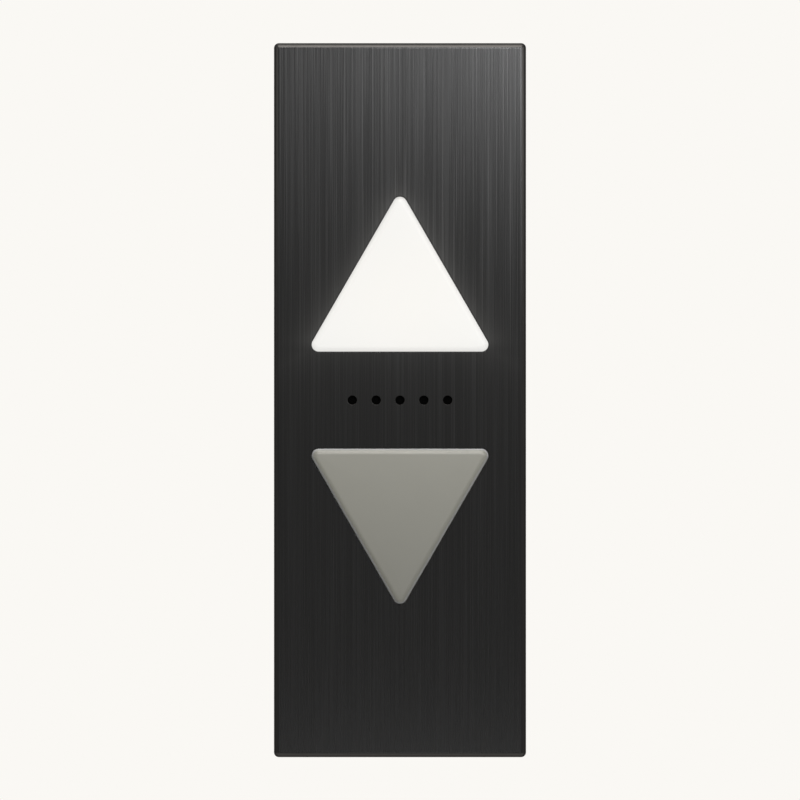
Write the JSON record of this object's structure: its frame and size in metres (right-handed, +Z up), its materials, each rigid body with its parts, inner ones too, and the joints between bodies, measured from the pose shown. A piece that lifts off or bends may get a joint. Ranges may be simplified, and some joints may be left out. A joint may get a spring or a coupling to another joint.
{
  "type": "elevator hall lantern",
  "caption": "Wall-mounted elevator hall lantern: tall black brushed cover with an up arrow, a down arrow and sound holes between them, hinged on a wired chassis.",
  "frame": {"origin": "centre of the chassis on the wall face, midway between the four wall slots", "axes": "+Z up the wall, +Y into the wall, so the lit face looks along -Y, and +X to the viewer's right"},
  "size_m": [0.1142, 0.0306, 0.3238],
  "materials": {
    "black_brushed_metal": "black, brushed lengthwise, satin",
    "zinc_steel": "zinc plated",
    "black_rubber": "matt",
    "brass": "satin",
    "green_board": "solder mask, satin",
    "white_board": "white solder mask",
    "green_terminal": "moulded",
    "black_chip": "moulded",
    "aluminium_can": "bright",
    "white_nylon": "moulded",
    "red_switch": "moulded",
    "white_lever": "moulded",
    "blue_trimmer": "moulded",
    "black_plastic": "fine texture",
    "nickel_magnet": "nickel plated",
    "lit_lens": "opal acrylic, lit from behind",
    "grey_lens": "opal acrylic, unlit, satin",
    "white_light_box": "moulded",
    "lamp": "phosphor window",
    "mesh": "woven",
    "pressed_frame": "black paint",
    "ferrite": "ground",
    "paper_cone": "pressed paper",
    "copper_coil": "enamelled copper wire",
    "treated_cloth": "resin-treated cloth"
  },
  "bodies": {
    "chassis": {"back_plate": "zinc_steel", "chassis_flanges": "zinc_steel", "cable_grommet": "black_rubber", "hinge_pins": "zinc_steel", "hinge_clips": "zinc_steel", "board_standoffs": "brass", "control_board": "green_board", "board_screws": "zinc_steel", "terminal_block": "green_terminal", "terminal_screws": "zinc_steel", "controller_chip": "black_chip", "amplifier_chip": "black_chip", "capacitors": "aluminium_can", "chip_resistors": "black_chip", "lead_sockets": "white_nylon", "dip_switch": "red_switch", "volume_trimmer": "blue_trimmer", "magnet_posts": "black_plastic", "catch_magnets": "nickel_magnet", "earth_stud": "brass", "earth_nut": "brass"},
    "cover": {"cover": "black_brushed_metal", "hinge_tabs": "zinc_steel", "keeper_plates": "zinc_steel", "cover_studs": "zinc_steel", "stud_nuts": "zinc_steel", "up_lens": "lit_lens", "up_gasket": "black_rubber", "up_light_box": "white_light_box", "up_lamp_board": "white_board", "up_lamps": "lamp", "up_board_screws": "zinc_steel", "up_lead_socket": "white_nylon", "down_lens": "grey_lens", "down_gasket": "black_rubber", "down_light_box": "white_light_box", "down_lamp_board": "white_board", "down_lamps": "lamp", "down_board_screws": "zinc_steel", "down_lead_socket": "white_nylon", "sound_mesh": "mesh", "speaker_housing": "black_plastic", "speaker_frame": "pressed_frame", "speaker_magnet": "ferrite", "speaker_yoke": "zinc_steel", "speaker_top_plate": "zinc_steel", "speaker_surround": "black_rubber", "speaker_spider": "treated_cloth", "speaker_terminals": "brass"},
    "cone": {"speaker_cone": "paper_cone", "speaker_dust_cap": "paper_cone", "voice_coil": "copper_coil"},
    "volume_rotor": {"trimmer_rotor": "white_lever"},
    "lever_1": {"dip_lever_1": "white_lever"},
    "lever_2": {"dip_lever_2": "white_lever"},
    "lever_3": {"dip_lever_3": "white_lever"},
    "lever_4": {"dip_lever_4": "white_lever"}
  },
  "joints": [
    {"name": "cover_tilt", "type": "hinge", "parent": "chassis", "child": "cover", "pos_m": [0, -0.0045, 0.15743], "axis": [-1, 0, 0], "range_deg": [0, 60]},
    {"name": "cone_travel", "type": "slide", "parent": "cover", "child": "cone", "axis": [0, -1, 0], "range_m": [-0.0005, 0.0005], "stiffness_N_per_m": 800, "deforming": ["speaker_surround", "speaker_spider"]},
    {"name": "volume_turn", "type": "hinge", "parent": "chassis", "child": "volume_rotor", "pos_m": [-0.01229, -0.0136, -0.14743], "axis": [0, -1, 0], "range_deg": [-135, 135]},
    {"name": "lever_1_slide", "type": "slide", "parent": "chassis", "child": "lever_1", "axis": [0, 0, 1], "range_m": [0, 0.0015]},
    {"name": "lever_2_slide", "type": "slide", "parent": "chassis", "child": "lever_2", "axis": [0, 0, 1], "range_m": [0, 0.0015]},
    {"name": "lever_3_slide", "type": "slide", "parent": "chassis", "child": "lever_3", "axis": [0, 0, 1], "range_m": [0, 0.0015]},
    {"name": "lever_4_slide", "type": "slide", "parent": "chassis", "child": "lever_4", "axis": [0, 0, 1], "range_m": [0, 0.0015]}
  ]
}
